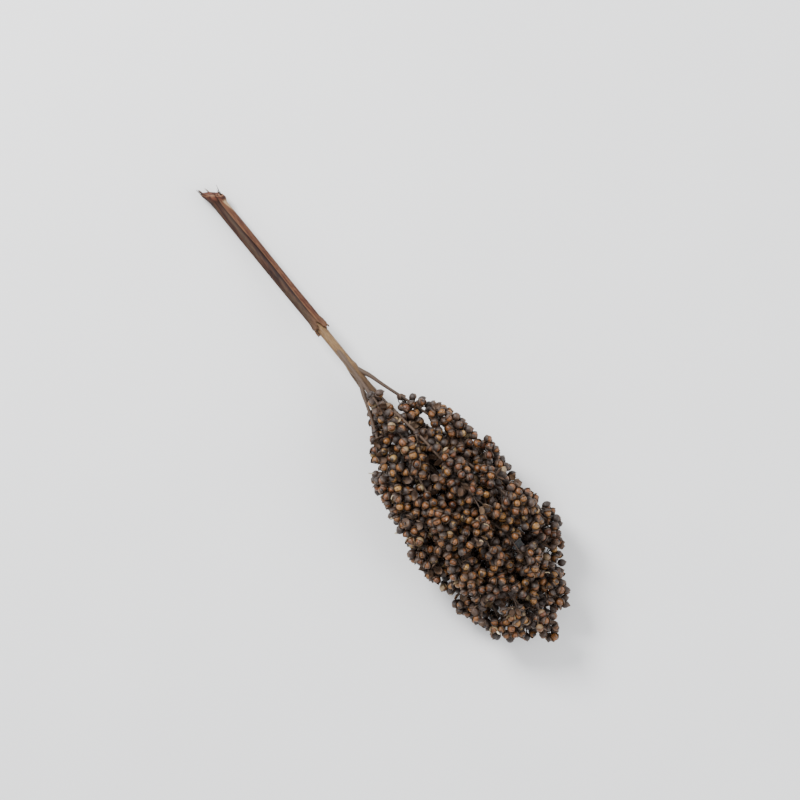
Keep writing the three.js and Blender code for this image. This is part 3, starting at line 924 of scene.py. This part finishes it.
def build_finger(number, finger, seeds, others, materials):
    own = [seed for seed in seeds if seed.finger == number]
    group, centres, outs = racemes(own)
    moves = lifts(finger, centres, outs)
    middles = np.array([seed.middle for seed in own])
    shifted = middles + moves[group] + DRAWN_TOGETHER * (centres[group] - middles)
    for i in range(len(own)):
        if not others.clear(shifted[i], CLEAR_OF_OTHERS, skip=number):
            shifted[i] = middles[i]
    ways = np.array([seed.way for seed in own])
    outer = np.array([seed.outer for seed in own])
    count = len(own)
    sizes = rng.uniform(*SIZES, count) * (1 - 0.07 * rng.random(count) ** 3)
    turns = frames_for(ways, rng.uniform(0, 2 * math.pi, count))
    bases = shifted - ways * (GRAIN_RADIUS * sizes)[:, None]
    kinds = rng.choice(len(KINDS), count, p=SHARES)
    kinds[~outer] = KINDS.index("half")
    family = rng.beta(2.2, 2.0, len(centres))[group]
    tones = (0.55 * family + 0.45 * rng.random(count)).clip(0, 1)
    tones = np.where(rng.random(count) < SHARE_PALE_GRAINS, rng.uniform(0.86, 1.0, count), tones * 0.9)
    shades = rng.random(count)
    offsets = rng.uniform(0, 500, (count, 3))

    halves = [(np.flatnonzero(kinds == kind), half)
              for kind, name in enumerate(KINDS) for half in PAIRS[name]]
    drop = np.zeros(count)
    for chosen, half in halves:
        shape = placed(half, bases[chosen], turns[chosen], sizes[chosen])
        drop[chosen] = np.minimum(drop[chosen], sunken(shape))
    bases[:, 2] -= drop
    husk_tones = 0.55 * rng.beta(1.6, 2.6, len(centres))[group] + 0.5 * rng.beta(1.3, 2.6, count)
    husk_tones = husk_tones.clip(0, 1)
    husk_tones = np.where(rng.random(count) < SHARE_PALE_HUSKS, rng.uniform(0.88, 1.0, count), husk_tones)
    grains, husks, twigs = Piece(), Piece(), Piece()

    def cover(piece, template, around, chosen, tones, last):
        """Puts the template at each chosen seed."""
        shape = placed(template, bases[chosen], turns[chosen], sizes[chosen])
        looks = spread_over(shape, tones[chosen, None], how_far_along(template, around), last)
        piece.add(shape, looks, template.points[None] + offsets[chosen, None])

    for chosen, half in halves:
        cover(husks, half, len(HUSK_ACROSS), chosen, husk_tones, HUSK_INSIDES)
    filled = KINDS.index("open") != kinds
    forms = rng.integers(len(GRAINS), size=count)
    for form, template in enumerate([*GRAINS, INNER_GRAIN]):
        inner = form == len(GRAINS)
        chosen = np.flatnonzero(filled & (~outer if inner else outer & (forms == form)))
        if len(chosen):
            around = AROUND_INNER if inner else AROUND_GRAIN
            cover(grains, template, around, chosen, tones, shades[chosen, None])
    add_twigs(twigs, finger, bases, ways, group, centres + moves, outs)
    nodes = [] if finger.tip else [f"branch_{finger.label}"]
    grains.make(f"grains_{finger.label}", materials["grain"], "grain", finger.node)
    husks.make(f"husks_{finger.label}", materials["husk"], "husk", finger.node)
    twigs.make(f"twigs_{finger.label}", materials["twig"], "stem", *nodes)


def add_twigs(twigs, finger, bases, ways, group, centres, outs):
    """The branch, a side branch to each raceme, and a short stem to each grain."""
    reach = finger.start + (finger.end - finger.start) * 0.86
    x = np.linspace(finger.start - (0.0 if finger.tip else ROOTED_BEFORE), reach, 34)
    beside = np.maximum(x, finger.start)
    parted = ((x - finger.start + ROOTED_BEFORE) / PARTED_OVER).clip(0.06, 1)
    parted = 1.0 if finger.tip else eased(parted)[:, None]
    path = stalk_line.at(x) + (finger.line.at(beside) - stalk_line.at(beside)) * parted
    path[:, 2] = path[:, 2].clip(1.3)
    share = np.linspace(0, 1, len(x))
    thick = 0.85 if finger.tip else 1.15 - 0.3 * (finger.start - HEAD_START) / (STALK_END - HEAD_START)
    radii = thick * (1 - 0.68 * share) * (1 + 0.30 * np.exp(-(((share - 0.12) / 0.07) ** 2)))
    shape = tubes(path, radii, 12)
    looks = np.zeros((len(shape.points), 3))
    looks[:, 0] = 0.25 + 0.35 * rng.random()
    looks[1:-1, 1] = np.repeat(share, 12)
    looks[-1, 1] = 1
    twigs.add(shape, looks, shape.points)

    hubs = centres - outs * 3.6 - finger.line.along(centres[:, 0]) * 1.5
    root_x = centres[:, 0] - rng.uniform(7, 12, len(centres))
    roots = finger.line.at(root_x.clip(finger.start + 1, reach - 0.5))
    roots[:, 2] = roots[:, 2].clip(1.2)
    hubs[:, 2] = hubs[:, 2].clip(0.9)
    s = np.linspace(0, 1, 7)[None, :, None]
    bend = finger.line.along(roots[:, 0])[:, None] * 1.8 * np.sin(math.pi * s)
    paths = roots[:, None] * (1 - s) + hubs[:, None] * s + bend
    radii = np.broadcast_to(0.42 * (1 - 0.4 * s[..., 0]), paths.shape[:2])
    shape = tubes(paths, radii, 6)
    shade = rng.random(len(centres))[:, None] * 0.7
    twigs.add(shape, spread_over(shape, shade, 0.6, 0.0), shape.points)

    ends = bases + ways * 0.1
    begins = hubs[group]
    s = np.linspace(0, 1, 5)[None, :, None]
    length = np.linalg.norm(ends - begins, axis=1)[:, None, None]
    bow = ways[:, None] * (-0.16) * length * np.sin(math.pi * s)
    paths = begins[:, None] * (1 - s) + ends[:, None] * s + bow
    paths[..., 2] = paths[..., 2].clip(0.35)
    radii = np.broadcast_to(0.26 + 0.10 * s[..., 0] ** 3, paths.shape[:2])
    shape = tubes(paths, radii, 5)
    shade = rng.random(len(bases))[:, None] * 0.8
    twigs.add(shape, spread_over(shape, shade, 0.8, 0.0), shape.points)


def chaff_piece(material, seeds):
    """Small pale flakes of husk caught among the seeds."""
    piece = Piece()
    outer = [seed for seed in seeds if seed.outer and seed.middle[2] > 8]
    for i in rng.choice(len(outer), FLAKES, replace=False):
        _, middle, way, out, _ = outer[i]
        v, u = grid(6, 4)
        long, wide = rng.uniform(1.8, 3.8), rng.uniform(0.35, 0.8)
        breadth = wide * np.sin(math.pi * (0.08 + 0.84 * v)) ** 0.8
        curl = 0.5 * u ** 2 * wide + 0.35 * np.sin(math.pi * v)
        flat = np.stack([u * breadth, curl, (v - 0.5) * long], -1)
        turn = frames_for(unit(rng.normal(size=(1, 3)) * 0.7 + way), rng.uniform(0, 6.28, 1))[0]
        place = middle + out * rng.uniform(1.0, 2.2) + unit(rng.normal(size=3)) * 1.6
        under = flat + np.array([0, 0.09, 0])
        shape = slab(flat @ turn.T + place, under @ turn.T + place)
        looks = np.array([rng.random(), 0.5, 0.5])
        piece.add(shape, looks, np.concatenate([flat, under]).reshape(-1, 3) + rng.uniform(0, 90, 3))
    piece.make("chaff", material, "chaff")


# --- Putting it together ---

HEAD_START = min(points_of(f"branch_{i:02d}")[:, 0].min() for i in range(1, 4))

materials = {"grain": grain_material(), "husk": husk_material(), "twig": twig_material()}
fingers = [Finger(i) for i in range(1, FINGERS + 2)]
seeds = scatter(fingers)
others = Spots(APART)
for seed in seeds:
    others.add(seed.middle, seed.finger)
for number, finger in enumerate(fingers):
    build_finger(number, finger, seeds, others, materials)
chaff_piece(chaff_material(), seeds)
stalk_piece(stalk_material())
sheath_look = sheath_material()
sheath_piece(sheath_look)
fibres_piece(sheath_look)


# --- Floor, light and camera, in metres ---

FLOOR_REACH = 3.0
CAMERA_SLANT = math.radians(54.5)  # of the picture's right edge, from +X toward +Y
CAMERA_HEIGHT = 1.6
FIELD = 0.424  # shown across the picture, half-way up the head
AIM_RIGHT, AIM_UP = 0.0048, 0.0030  # of the picture's middle from the model's
LIT_POINT = (0, 0, 0.02)


def make_floor():
    mesh = bpy.data.meshes.new("floor")
    corners = [(x * FLOOR_REACH, y * FLOOR_REACH, 0) for x, y in ((-1, -1), (1, -1), (1, 1), (-1, 1))]
    mesh.from_pydata(corners, [], [(0, 1, 2, 3)])
    mesh.materials.append(floor_material())
    floor = bpy.data.objects.new("floor", mesh)
    bpy.context.scene.collection.objects.link(floor)


def soft_light(name, place, size, power):
    data = bpy.data.lights.new(name, "AREA")
    data.shape, data.size, data.energy = "DISK", size, power
    lamp = bpy.data.objects.new(name, data)
    lamp.location = place
    lamp.rotation_euler = (Vector(LIT_POINT) - place).to_track_quat("-Z", "Y").to_euler()
    bpy.context.scene.collection.objects.link(lamp)


def make_camera():
    """Looks straight down, with the cut end at the upper left and the head's tip at the lower right."""
    right = Vector((math.cos(CAMERA_SLANT), math.sin(CAMERA_SLANT), 0))
    up = Vector((-math.sin(CAMERA_SLANT), math.cos(CAMERA_SLANT), 0))
    low, high = (Vector(c) for c in cad_box)
    middle = (low + high) / 2
    data = bpy.data.cameras.new("camera")
    data.sensor_width = 36
    data.lens = data.sensor_width * (CAMERA_HEIGHT - middle.z) / FIELD
    camera = bpy.data.objects.new("camera", data)
    aim = Vector((middle.x, middle.y, 0)) + right * AIM_RIGHT + up * AIM_UP
    camera.matrix_world = Matrix((
        (right.x, up.x, 0, aim.x), (right.y, up.y, 0, aim.y), (0, 0, 1, CAMERA_HEIGHT), (0, 0, 0, 1)))
    bpy.context.scene.collection.objects.link(camera)
    bpy.context.scene.camera = camera
    return right, up


make_floor()
image_right, image_up = make_camera()
key_place = -image_right * 0.7 + image_up * 0.8 + Vector((0, 0, 1.0))
fill_place = image_right * 1.1 - image_up * 0.2 + Vector((0, 0, 0.9))
soft_light("key", key_place, size=0.55, power=32)
soft_light("fill", fill_place, size=1.0, power=12)
world = bpy.data.worlds.new("studio")
world.use_nodes = True
sky, strength = world.node_tree.nodes["Background"].inputs[:2]
sky.default_value, strength.default_value = (0.95, 0.97, 1.0, 1), 1.0
bpy.context.scene.world = world
